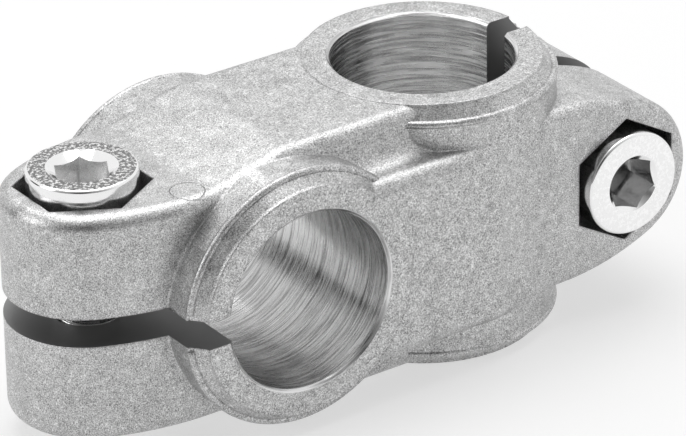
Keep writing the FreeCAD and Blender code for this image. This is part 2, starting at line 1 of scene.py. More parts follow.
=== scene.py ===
"""Visual model of a crossed tube connector: a blasted aluminium casting with two cap screws and two nuts."""

import logging
import math
from dataclasses import dataclass
from enum import Enum, IntEnum

import bmesh
import bpy
from mathutils import Matrix, Vector

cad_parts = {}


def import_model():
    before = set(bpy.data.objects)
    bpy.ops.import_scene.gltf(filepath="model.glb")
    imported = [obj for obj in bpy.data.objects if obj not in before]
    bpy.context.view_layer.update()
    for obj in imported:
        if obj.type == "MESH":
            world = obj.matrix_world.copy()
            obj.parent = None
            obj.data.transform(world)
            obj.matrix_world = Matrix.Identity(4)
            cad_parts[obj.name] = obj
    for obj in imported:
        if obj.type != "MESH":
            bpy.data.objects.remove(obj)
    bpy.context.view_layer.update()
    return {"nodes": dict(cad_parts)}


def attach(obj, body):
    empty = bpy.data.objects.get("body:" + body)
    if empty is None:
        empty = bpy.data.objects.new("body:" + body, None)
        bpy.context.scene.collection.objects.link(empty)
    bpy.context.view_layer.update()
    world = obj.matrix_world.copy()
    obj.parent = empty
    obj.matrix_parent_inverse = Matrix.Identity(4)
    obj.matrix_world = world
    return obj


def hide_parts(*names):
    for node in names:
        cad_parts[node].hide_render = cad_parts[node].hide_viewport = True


LOG = logging.getLogger("tube_connector")

# A range from start to end, a place or a direction, and a linear colour with its alpha.
Pair = tuple[float, float]
Triple = tuple[float, float, float]
Colour = tuple[float, float, float, float]

MM = 0.001
# Corners of a node's mesh that are nearer than this are one corner.
SEAM = 0.002 * MM
# Turns a piece that stands along Z so that it lies along the level bore, with its slit to the left.
ALONG_LEVEL_BORE = Matrix(((-1, 0, 0, 0), (0, 0, 1, 0), (0, 1, 0, 0), (0, 0, 0, 1)))
# Turns a piece that stands along Z so that its top faces the front.
TOP_TO_FRONT = Matrix(((1, 0, 0, 0), (0, 0, -1, 0), (0, 1, 0, 0), (0, 0, 0, 1)))


class Side(Enum):
    """The two halves of the connector, each with its own bore, lug, screw and nut."""

    LEVEL = "level"
    UPRIGHT = "upright"


class CastingFinish(IntEnum):
    """The casting's finishes, by the number of their material."""

    SKIN = 0
    LEVEL_BORE = 1
    UPRIGHT_BORE = 2
    SLIT = 3


class ScrewFinish(IntEnum):
    """The screw's finishes, by the number of their material."""

    PLATING = 0
    HEAD_FACE = 1
    SOCKET = 2


def linear(hex_colour: str) -> Colour:
    """Turn an sRGB hex colour into linear values.

    Args:
        hex_colour: Six hex digits, with or without a leading hash.

    Returns:
        Linear red, green and blue, and an alpha of 1.
    """
    digits = hex_colour.lstrip("#")
    parts = [int(digits[k : k + 2], 16) / 255 for k in (0, 2, 4)]
    red, green, blue = (c / 12.92 if c <= 0.04045 else ((c + 0.055) / 1.055) ** 2.4 for c in parts)
    return (red, green, blue, 1.0)


def add_node(
    tree: bpy.types.NodeTree,
    kind: str,
    settings: dict[str | int, object] | None = None,
    links: dict[str | int, bpy.types.NodeSocket] | None = None,
) -> bpy.types.Node:
    """Add one node, set its properties and input values, and link its inputs.

    Args:
        tree: The node tree that gets the node.
        kind: The node's type name.
        settings: Values by property name, or by input name or number where no property has the name.
        links: Output sockets by input name or number.

    Returns:
        The new node.
    """
    node = tree.nodes.new(kind)
    for name, value in (settings or {}).items():
        if isinstance(name, str) and hasattr(node, name):
            setattr(node, name, value)
        else:
            node.inputs[name].default_value = value
    for name, socket in (links or {}).items():
        tree.links.new(socket, node.inputs[name])
    return node


def new_material(name: str) -> tuple[bpy.types.Material, bpy.types.Node]:
    """Make an empty node material.

    Args:
        name: The material's name.

    Returns:
        The material and its output node.
    """
    material = bpy.data.materials.new(name)
    material.use_nodes = True
    material.node_tree.nodes.clear()
    return material, add_node(material.node_tree, "ShaderNodeOutputMaterial")


def new_piece(name: str, mesh: bpy.types.Mesh) -> bpy.types.Object:
    """Put a mesh into the scene as an object at the origin.

    Args:
        name: The object's name.
        mesh: Its mesh.

    Returns:
        The new object.
    """
    piece = bpy.data.objects.new(name, mesh)
    bpy.context.scene.collection.objects.link(piece)
    return piece


def report(piece: bpy.types.Object) -> None:
    """Log a finished piece by name and number of faces.

    Args:
        piece: The finished piece.
    """
    LOG.info("%s: %d faces", piece.name, len(piece.data.polygons))


@dataclass(frozen=True)
class BlastedCasting:
    """Die-cast aluminium, shot blasted: a pale satin grey with a sandy grain and small bright nicks."""

    pale: str = "#F0F0F0"
    dark: str = "#6C6C6C"
    tone_range: Pair = (0.38, 0.88)
    # Shot leaves dimples of about 0.1 mm. They are drawn coarser, so that they show.
    grain: float = 0.14 * MM
    grain_strength: float = 0.55
    grain_depth: float = 0.035 * MM
    # Clouds a few millimetres wide, where the skin froze sooner or later.
    blotch: float = 2.4 * MM
    blotch_share: float = 0.25
    # Nicks and pits are hairlines of a few hundredths of a millimetre. They are drawn wider, to show.
    nick: str = "#FFFFFF"
    pit: str = "#606060"
    hair_length: float = 0.5 * MM
    hair_curl: float = 0.8
    # How far from its middle the noise still draws a whole hairline, and where the hairline ends.
    hair_width: Pair = (0.01, 0.045)
    patch: float = 0.9 * MM
    nick_range: Pair = (0.54, 0.63)
    nick_strength: float = 0.6
    pit_range: Pair = (0.38, 0.45)
    pit_strength: float = 0.45
    roughness: float = 0.4
    roughness_spread: Pair = (-0.05, 0.08)
    edge_radius: float = 0.42 * MM
    edge_samples: int = 6
    pin_mark: Triple = (-25.3 * MM, -8.9 * MM, 0.0)
    pin_radius: float = 2.1 * MM
    pin_edge: float = 0.18 * MM
    pin_depth: float = 0.3 * MM

    def material(self) -> bpy.types.Material:
        """Build the material.

        Returns:
            The material.
        """
        # Shot-blasted cast aluminium. The eye sees a satin metal with a sandy grain instead of a mirror.
        material, output = new_material("blasted_cast_aluminium")
        tree = material.node_tree
        spot = add_node(tree, "ShaderNodeTexCoord").outputs["Object"]
        grain = add_node(
            tree,
            "ShaderNodeTexNoise",
            {"Scale": 1 / self.grain, "Detail": 1.0, "Roughness": 0.6},
            {"Vector": spot},
        )
        blotch = add_node(
            tree,
            "ShaderNodeTexNoise",
            {"Scale": 1 / self.blotch, "Detail": 3.0, "Roughness": 0.6},
            {"Vector": spot},
        )
        mixed = add_node(
            tree,
            "ShaderNodeMath",
            {"operation": "MULTIPLY_ADD", 1: self.blotch_share},
            {0: blotch.outputs["Fac"], 2: grain.outputs["Fac"]},
        )
        tone = add_node(
            tree,
            "ShaderNodeMapRange",
            {"From Min": self.tone_range[0], "From Max": self.tone_range[1]},
            {"Value": mixed.outputs[0]},
        )
        colour = add_node(
            tree,
            "ShaderNodeMix",
            {"data_type": "RGBA", 6: linear(self.dark), 7: linear(self.pale)},
            {0: tone.outputs[0]},
        )
        rough = add_node(
            tree,
            "ShaderNodeMapRange",
            {
                "From Min": 0.3,
                "From Max": 0.7,
                "To Min": self.roughness + self.roughness_spread[0],
                "To Max": self.roughness + self.roughness_spread[1],
            },
            {"Value": blotch.outputs["Fac"]},
        )
        edges = add_node(tree, "ShaderNodeBevel", {"samples": self.edge_samples, "Radius": self.edge_radius})
        pressed = add_node(
            tree,
            "ShaderNodeBump",
            {"Strength": 1.0, "Distance": self.pin_depth},
            {"Height": self.pin_disc(tree, spot), "Normal": edges.outputs[0]},
        )
        bump = add_node(
            tree,
            "ShaderNodeBump",
            {"Strength": self.grain_strength, "Distance": self.grain_depth},
            {"Height": grain.outputs["Fac"], "Normal": pressed.outputs[0]},
        )
        shader = add_node(
            tree,
            "ShaderNodeBsdfPrincipled",
            {"Metallic": 1.0},
            {
                "Base Color": self.nicked(tree, spot, colour.outputs[2]),
                "Roughness": rough.outputs[0],
                "Normal": bump.outputs[0],
            },
        )
        tree.links.new(shader.outputs[0], output.inputs[0])
        return material

    def nicked(
        self,
        tree: bpy.types.NodeTree,
        spot: bpy.types.NodeSocket,
        colour: bpy.types.NodeSocket,
    ) -> bpy.types.NodeSocket:
        """Draw dark pits and bright nicks over the skin's colour, as short curled hairlines in patches.

        Args:
            tree: The material's tree.
            spot: The point's own place on the casting.
            colour: The skin's colour.

        Returns:
            The colour with the pits and nicks.
        """
        curls = add_node(
            tree,
            "ShaderNodeTexNoise",
            {"Scale": 1 / self.hair_length, "Detail": 1.0, "Roughness": 0.5, "Distortion": self.hair_curl},
            {"Vector": spot},
        )
        off_middle = add_node(
            tree,
            "ShaderNodeMath",
            {"operation": "SUBTRACT", 1: 0.5},
            {0: curls.outputs["Fac"]},
        )
        distance = add_node(tree, "ShaderNodeMath", {"operation": "ABSOLUTE"}, {0: off_middle.outputs[0]})
        hair = add_node(
            tree,
            "ShaderNodeMapRange",
            {"From Min": self.hair_width[0], "From Max": self.hair_width[1], "To Min": 1.0, "To Max": 0.0},
            {"Value": distance.outputs[0]},
        )
        patches = add_node(
            tree,
            "ShaderNodeTexNoise",
            {"Scale": 1 / self.patch, "Detail": 2.0, "Roughness": 0.6},
            {"Vector": spot},
        )
        for tint, (start, end), (low, high) in (
            (self.pit, self.pit_range, (self.pit_strength, 0.0)),
            (self.nick, self.nick_range, (0.0, self.nick_strength)),
        ):
            here = add_node(
                tree,
                "ShaderNodeMapRange",
                {"From Min": start, "From Max": end, "To Min": low, "To Max": high},
                {"Value": patches.outputs["Fac"]},
            )
            share = add_node(
                tree,
                "ShaderNodeMath",
                {"operation": "MULTIPLY"},
                {0: here.outputs[0], 1: hair.outputs[0]},
            )
            over = add_node(
                tree,
                "ShaderNodeMix",
                {"data_type": "RGBA", 7: linear(tint)},
                {0: share.outputs[0], 6: colour},
            )
            colour = over.outputs[2]
        return colour

    def pin_disc(self, tree: bpy.types.NodeTree, spot: bpy.types.NodeSocket) -> bpy.types.NodeSocket:
        """Give the height of the disc that an ejector pin pressed into the level lug.

        Args:
            tree: The material's tree.
            spot: The point's own place on the casting.

        Returns:
            The socket, which is 1 outside the disc and 0 on it.
        """
        flat = add_node(
            tree,
            "ShaderNodeVectorMath",
            {"operation": "MULTIPLY", 1: (1.0, 1.0, 0.0)},
            {0: spot},
        )
        away = add_node(
            tree,
            "ShaderNodeVectorMath",
            {"operation": "DISTANCE", 1: self.pin_mark},
            {0: flat.outputs[0]},
        )
        disc = add_node(
            tree,
            "ShaderNodeMapRange",
            {"From Min": self.pin_radius - self.pin_edge, "From Max": self.pin_radius},
            {"Value": away.outputs["Value"]},
        )
        return disc.outputs[0]


@dataclass(frozen=True)
class TurnedBore:
    """Aluminium bored out with a single-point tool: brighter than the casting, with rings round the bore."""

    axis: str
    across: str
    centre: Triple
    crest: str
    groove: str
    bore_radius: float
    # The tool leaves a ring every 0.1 to 0.2 mm. They are drawn coarser, so that they show.
    ring_pitch: float = 0.34 * MM
    ring_depth: float = 0.08 * MM
    # Each mark fades out after about this length round the bore.
    mark_length: float = 7.0 * MM
    mark_range: Pair = (0.34, 0.62)
    mark_share: float = 0.8
    roughness: float = 0.25
    roughness_spread: Pair = (-0.06, 0.08)
    anisotropy: float = 0.9

    def material(self) -> bpy.types.Material:
        """Build the material.

        Returns:
            The material.
        """
        # Turned aluminium. The rings stretch every reflection along the bore and keep it sharp round it.
        material, output = new_material(f"turned_aluminium_{self.axis.lower()}")
        tree = material.node_tree
        place = add_node(tree, "ShaderNodeTexCoord")
        from_axis = add_node(
            tree,
            "ShaderNodeMapping",
            {"Location": tuple(-c for c in self.centre)},
            {"Vector": place.outputs["Object"]},
        )
        parts = add_node(tree, "ShaderNodeSeparateXYZ", {}, {"Vector": from_axis.outputs[0]})
        bearing = add_node(
            tree,
            "ShaderNodeMath",
            {"operation": "ARCTAN2"},
            {0: parts.outputs[self.across], 1: parts.outputs["X"]},
        )
        # One unit of the pattern is one ring's pitch along the bore, and one mark's length round it.
        along = add_node(
            tree,
            "ShaderNodeMath",
            {"operation": "DIVIDE", 1: self.ring_pitch},
            {0: parts.outputs[self.axis]},
        )
        around = add_node(
            tree,
            "ShaderNodeMath",
            {"operation": "MULTIPLY", 1: self.bore_radius / self.mark_length},
            {0: bearing.outputs[0]},
        )
        unrolled = add_node(
            tree,
            "ShaderNodeCombineXYZ",
            {},
            {"X": around.outputs[0], "Y": along.outputs[0]},
        )
        marks = add_node(
            tree,
            "ShaderNodeTexNoise",
            {"noise_dimensions": "2D", "Scale": 1.0, "Detail": 2.0, "Roughness": 0.6, "Distortion": 0.15},
            {"Vector": unrolled.outputs[0]},
        )
        depth = add_node(
            tree,
            "ShaderNodeMapRange",
            {"From Min": self.mark_range[0], "From Max": self.mark_range[1]},
            {"Value": marks.outputs["Fac"]},
        )
        colour = add_node(
            tree,
            "ShaderNodeMix",
            {"data_type": "RGBA", 6: linear(self.groove), 7: linear(self.crest)},
            {0: depth.outputs[0]},
        )
        rings = add_node(
            tree,
            "ShaderNodeTexNoise",
            {"noise_dimensions": "1D", "Scale": 0.5, "Detail": 2.0},
            {"W": along.outputs[0]},
        )
        height = add_node(
            tree,
            "ShaderNodeMath",
            {"operation": "MULTIPLY_ADD", 1: self.mark_share},
            {0: marks.outputs["Fac"], 2: rings.outputs["Fac"]},
        )
        bump = add_node(
            tree,
            "ShaderNodeBump",
            {"Strength": 1.0, "Distance": self.ring_depth},
            {"Height": height.outputs[0]},
        )
        rough = add_node(
            tree,
            "ShaderNodeMapRange",
            {
                "From Min": 0.3,
                "From Max": 0.7,
                "To Min": self.roughness + self.roughness_spread[0],
                "To Max": self.roughness + self.roughness_spread[1],
            },
            {"Value": marks.outputs["Fac"]},
        )
        bore_line = add_node(tree, "ShaderNodeCombineXYZ", {self.axis: 1.0})
        shader = add_node(
            tree,
            "ShaderNodeBsdfPrincipled",
            {"Metallic": 1.0, "Anisotropic": self.anisotropy},
            {
                "Base Color": colour.outputs[2],
                "Roughness": rough.outputs[0],
                "Normal": bump.outputs[0],
                "Tangent": bore_line.outputs[0],
            },
        )
        tree.links.new(shader.outputs[0], output.inputs[0])
        return material


@dataclass(frozen=True)
class SawnSlit:
    """Aluminium cut with a slitting saw: flat and dull, with faint straight marks. Its colour is darker than
    the skin: painted shade inside the narrow slit.
    """

    # Darker than the skin: painted shade, standing in for the shade inside the narrow slit.
    colour: str = "#8C8C8C"
    # Saw teeth leave lines about 0.1 mm apart. They are drawn coarser, so that they show.
    mark_pitch: float = 0.3 * MM
    mark_stretch: Triple = (0.08, 1.0, 1.0)
    mark_strength: float = 0.4
    mark_depth: float = 0.03 * MM
    roughness: float = 0.5

    def material(self) -> bpy.types.Material:
        """Build the material.

        Returns:
            The material.
        """
        # Sawn aluminium, painted darker as the shade inside the slit. The marks run along the slit, so its
        # walls look brushed.
        material, output = new_material("sawn_aluminium_with_painted_shade")
        tree = material.node_tree
        place = add_node(tree, "ShaderNodeTexCoord")
        stretched = add_node(
            tree,
            "ShaderNodeMapping",
            {"Scale": self.mark_stretch},
            {"Vector": place.outputs["Object"]},
        )
        marks = add_node(
            tree,
            "ShaderNodeTexNoise",
            {"Scale": 1 / self.mark_pitch, "Detail": 3.0},
            {"Vector": stretched.outputs[0]},
        )
        bump = add_node(
            tree,
            "ShaderNodeBump",
            {"Strength": self.mark_strength, "Distance": self.mark_depth},
            {"Height": marks.outputs["Fac"]},
        )
        shader = add_node(
            tree,
            "ShaderNodeBsdfPrincipled",
            {"Base Color": linear(self.colour), "Metallic": 1.0, "Roughness": self.roughness},
            {"Normal": bump.outputs[0]},
        )
        tree.links.new(shader.outputs[0], output.inputs[0])
        return material


@dataclass(frozen=True)
class BrightPlating:
    """Nickel over steel: a hard mirror with faint wear, which shows white and near-black reflections."""

    name: str = "bright_nickel_plate"
    colour: str = "#F0F0F0"
    pit: str = "#2C2C2C"
    # Pits in worn plating are about 0.1 mm wide. They are drawn coarser, so that they show.
    pit_size: float = 0.42 * MM
    pit_range: Pair = (0.4, 0.52)
    pitting: float = 0.0
    dent: float = 1.1 * MM
    dent_strength: float = 0.25
    dent_depth: float = 0.03 * MM
    roughness: float = 0.1
    roughness_spread: Pair = (-0.04, 0.1)

    def material(self) -> bpy.types.Material:
        """Build the material.

        Returns:
            The material.
        """
        # Nickel plate. Small dents in the steel under it break up the reflections.
        material, output = new_material(self.name)
        tree = material.node_tree
        place = add_node(tree, "ShaderNodeTexCoord")
        dents = add_node(
            tree,
            "ShaderNodeTexNoise",
            {"Scale": 1 / self.dent, "Detail": 3.0},
            {"Vector": place.outputs["Object"]},
        )
        bump = add_node(
            tree,
            "ShaderNodeBump",
            {"Strength": self.dent_strength, "Distance": self.dent_depth},
            {"Height": dents.outputs["Fac"]},
        )
        rough = add_node(
            tree,
            "ShaderNodeMapRange",
            {
                "From Min": 0.35,
                "From Max": 0.7,
                "To Min": self.roughness + self.roughness_spread[0],
                "To Max": self.roughness + self.roughness_spread[1],
            },
            {"Value": dents.outputs["Fac"]},
        )
        shader = add_node(
            tree,
            "ShaderNodeBsdfPrincipled",
            {"Base Color": linear(self.colour), "Metallic": 1.0},
            {"Roughness": rough.outputs[0], "Normal": bump.outputs[0]},
        )
        if self.pitting > 0:
            pitted = self.pitted(tree, place.outputs["Object"])
            tree.links.new(pitted, shader.inputs["Base Color"])
        tree.links.new(shader.outputs[0], output.inputs[0])
        return material

    def pitted(self, tree: bpy.types.NodeTree, spot: bpy.types.NodeSocket) -> bpy.types.NodeSocket:
        """Draw dark pits over the plating's colour.

        Args:
            tree: The material's tree.
            spot: The point's own place on the piece.

        Returns:
            The colour with the pits.
        """
        specks = add_node(
            tree,
            "ShaderNodeTexNoise",
            {"Scale": 1 / self.pit_size, "Detail": 2.0, "Roughness": 0.7},
            {"Vector": spot},
        )
        pits = add_node(
            tree,
            "ShaderNodeMapRange",
            {"From Min": self.pit_range[0], "From Max": self.pit_range[1], "To Max": self.pitting},
            {"Value": specks.outputs["Fac"]},
        )
        colour = add_node(
            tree,
            "ShaderNodeMix",
            {"data_type": "RGBA", 6: linear(self.colour), 7: linear(self.pit)},
            {0: pits.outputs[0]},
        )
        return colour.outputs[2]


def new_tree(name: str, lengths: tuple[str, ...]) -> tuple[bpy.types.NodeTree, bpy.types.Node]:
    """Make an empty Geometry Nodes tree with named inputs.

    Args:
        name: The tree's name.
        lengths: The names of its number inputs. A material input follows them.

    Returns:
        The tree and its group input node.
    """
    tree = bpy.data.node_groups.new(name, "GeometryNodeTree")
    tree.interface.new_socket(name="Geometry", in_out="OUTPUT", socket_type="NodeSocketGeometry")
    for label in lengths:
        tree.interface.new_socket(name=label, in_out="INPUT", socket_type="NodeSocketFloat")
    tree.interface.new_socket(name="Material", in_out="INPUT", socket_type="NodeSocketMaterial")
    return tree, add_node(tree, "NodeGroupInput")


def close_tree(tree: bpy.types.NodeTree, source: bpy.types.Node, shape: bpy.types.NodeSocket) -> None:
    """End a tree in Realize Instances and Set Material.

    Args:
        tree: The tree.
        source: Its group input node.
        shape: The socket that carries the finished shape.
    """
    real = add_node(tree, "GeometryNodeRealizeInstances", {}, {"Geometry": shape})
    dressed = add_node(
        tree,
        "GeometryNodeSetMaterial",
        {},
        {"Geometry": real.outputs[0], "Material": source.outputs["Material"]},
    )
    output = add_node(tree, "NodeGroupOutput")
    tree.links.new(dressed.outputs[0], output.inputs[0])


def grown(
    tree: bpy.types.NodeTree,
    name: str,
    values: dict[str, float | bpy.types.Material],
    place: Matrix,
) -> bpy.types.Object:
    """Run a tree once and keep its result as a plain mesh in its place.

    Args:
        tree: The Geometry Nodes tree.
        name: The new piece's name.
        values: The tree's inputs by name.
        place: Where the result goes.

    Returns:
        The finished piece.
    """
    host = new_piece(f"{name}_host", bpy.data.meshes.new(f"{name}_host"))
    modifier = host.modifiers.new(tree.name, "NODES")
    modifier.node_group = tree
    for item in tree.interface.items_tree:
        if item.in_out == "INPUT":
            modifier[item.identifier] = values[item.name]
    graph = bpy.context.evaluated_depsgraph_get()
    mesh = bpy.data.meshes.new_from_object(host.evaluated_get(graph), depsgraph=graph)
    mesh.name = name
    host.modifiers.clear()
    bpy.data.objects.remove(host)
    mesh.transform(place)
    return new_piece(name, mesh)


def merged_copy(node: bpy.types.Object, name: str, sharp_angle: float) -> bpy.types.Object:
    """Copy a node's mesh, close its seams, and shade it smooth but for its edges.

    Args:
        node: The frame's own node, which stays as it is.
        name: The new piece's name.
        sharp_angle: Edges that turn by more than this many degrees stay crisp.

    Returns:
        The new object, at the origin.
    """
    mesh = bpy.data.meshes.new(name)
    shape = bmesh.new()
    shape.from_mesh(node.data)
    bmesh.ops.remove_doubles(shape, verts=shape.verts, dist=SEAM)
    limit = math.radians(sharp_angle)
    for face in shape.faces:
        face.smooth = True
    for edge in shape.edges:
        edge.smooth = len(edge.link_faces) == 2 and edge.calc_face_angle(0.0) < limit
    shape.to_mesh(mesh)
    shape.free()
    return new_piece(name, mesh)


@dataclass
class Casting:
    """The clamp body: two crossed split barrels, the decks between them and a lug at each end."""

    bore_radius: float = 11.0 * MM
    bore_chamfer: float = 0.4 * MM
    axis_offset: float = 14.1 * MM
    slit_width: float = 3.5 * MM
    sharp_angle: float = 24.0
    # How far a corner may lie from a cut surface and still be on it.
    slack: float = 0.03 * MM
    # A face whose normal is at least this much along the bore is an end face.
    end_face: float = 0.9

    def build(self, node: bpy.types.Object) -> bpy.types.Object:
        """Build the dressed casting.

        Args:
            node: The clamp body's own node.

        Returns:
            The finished piece.
        """
        piece = merged_copy(node, "casting", self.sharp_angle)
        finishes = {
            CastingFinish.SKIN: BlastedCasting(),
            CastingFinish.LEVEL_BORE: TurnedBore(
                axis="Y",
                across="Z",
                centre=(-self.axis_offset, 0.0, 0.0),
                crest="#E8E8E8",
                groove="#A0A0A0",
                bore_radius=self.bore_radius,
            ),
            CastingFinish.UPRIGHT_BORE: TurnedBore(
                axis="Z",
                across="Y",
                centre=(self.axis_offset, 0.0, 0.0),
                # Paler than the level bore's colours: painted light, standing in for the light that falls
                # down the upright bore.
                crest="#F2F2F2",
                groove="#BEBEBE",
                bore_radius=self.bore_radius,
            ),
            CastingFinish.SLIT: SawnSlit(),
        }
        for number in CastingFinish:
            piece.data.materials.append(finishes[number].material())
        for face in piece.data.polygons:
            corners = [piece.data.vertices[k].co for k in face.vertices]
            face.material_index = self.finish_of(corners, face.normal)
        return piece

    def finish_of(self, corners: list[Vector], normal: Vector) -> CastingFinish:
        """Tell which finish a face has: the cast skin, one of the two bores or the sawn slits.

        Args:
            corners: The face's corners.
            normal: The face's normal.

        Returns:
            The face's finish.
        """
        offset = self.axis_offset
        reach = self.bore_radius + self.bore_chamfer + self.slack
        half = self.slit_width / 2
        if max(math.hypot(p.x + offset, p.z) for p in corners) < reach and abs(normal.y) < self.end_face:
            return CastingFinish.LEVEL_BORE
        if max(math.hypot(p.x - offset, p.y) for p in corners) < reach and abs(normal.z) < self.end_face:
            return CastingFinish.UPRIGHT_BORE
        in_level_slit = all(abs(abs(p.z) - half) < self.slack and p.x < -offset for p in corners)
        in_upright_slit = all(abs(abs(p.y) - half) < self.slack and p.x > offset for p in corners)
        return CastingFinish.SLIT if in_level_slit or in_upright_slit else CastingFinish.SKIN


@dataclass
class Shoulder:
    """The soft shoulder round each collar, which rolls from the ring's slope onto the barrel."""

    side: Side
    axis_offset: float
    radius: float = 15.547 * MM
    height: float = 14.997 * MM
    round_radius: float = 0.5 * MM
    slit_half: float = 2.35 * MM
    arc_points: int = 160
    round_points: int = 20

    def tree(self) -> bpy.types.NodeTree:
        """Build the tree: a round bead swept along an arc that stops at the slit, at both barrel ends.

        Returns:
            The tree.
        """
        tree, source = new_tree("shoulder", ("Radius", "Height", "Round", "Slit Angle"))
        # The arc is the full turn less the slit's angle on each side.
        sweep = add_node(
            tree,
            "ShaderNodeMath",
            {"operation": "MULTIPLY_ADD", 1: -2.0, 2: math.tau},
            {0: source.outputs["Slit Angle"]},
        )
        arc = add_node(
            tree,
            "GeometryNodeCurveArc",
            {"Resolution": self.arc_points},
            {
                "Radius": source.outputs["Radius"],
                "Start Angle": source.outputs["Slit Angle"],
                "Sweep Angle": sweep.outputs[0],
            },
        )
        section = add_node(
            tree,
            "GeometryNodeCurvePrimitiveCircle",
            {"Resolution": self.round_points},
            {"Radius": source.outputs["Round"]},
        )
        bead = add_node(
            tree,
            "GeometryNodeCurveToMesh",
            {"Fill Caps": True},
            {"Curve": arc.outputs["Curve"], "Profile Curve": section.outputs["Curve"]},
        )
        join = add_node(tree, "GeometryNodeJoinGeometry")
        for sign in (1.0, -1.0):
            lift = add_node(
                tree,
                "ShaderNodeMath",
                {"operation": "MULTIPLY", 1: sign},
                {0: source.outputs["Height"]},
            )
            spot = add_node(tree, "ShaderNodeCombineXYZ", {}, {"Z": lift.outputs[0]})
            moved = add_node(
                tree,
                "GeometryNodeTransform",
                {},
                {"Geometry": bead.outputs["Mesh"], "Translation": spot.outputs[0]},
            )
            tree.links.new(moved.outputs[0], join.inputs[0])
        close_tree(tree, source, join.outputs[0])
        return tree

    def build(self, skin: bpy.types.Material) -> bpy.types.Object:
        """Build both shoulders of the barrel.

        Args:
            skin: The casting's finish.

        Returns:
            The finished piece.
        """
        values = {
            "Radius": self.radius,
            "Height": self.height,
            "Round": self.round_radius,
            "Slit Angle": math.asin(self.slit_half / self.radius),
            "Material": skin,
        }
        if self.side is Side.LEVEL:
            place = Matrix.Translation((-self.axis_offset, 0, 0)) @ ALONG_LEVEL_BORE
        else:
            place = Matrix.Translation((self.axis_offset, 0, 0))
        piece = grown(self.tree(), f"{self.side.value}_shoulder", values, place)
        piece.data.shade_smooth()
        return piece


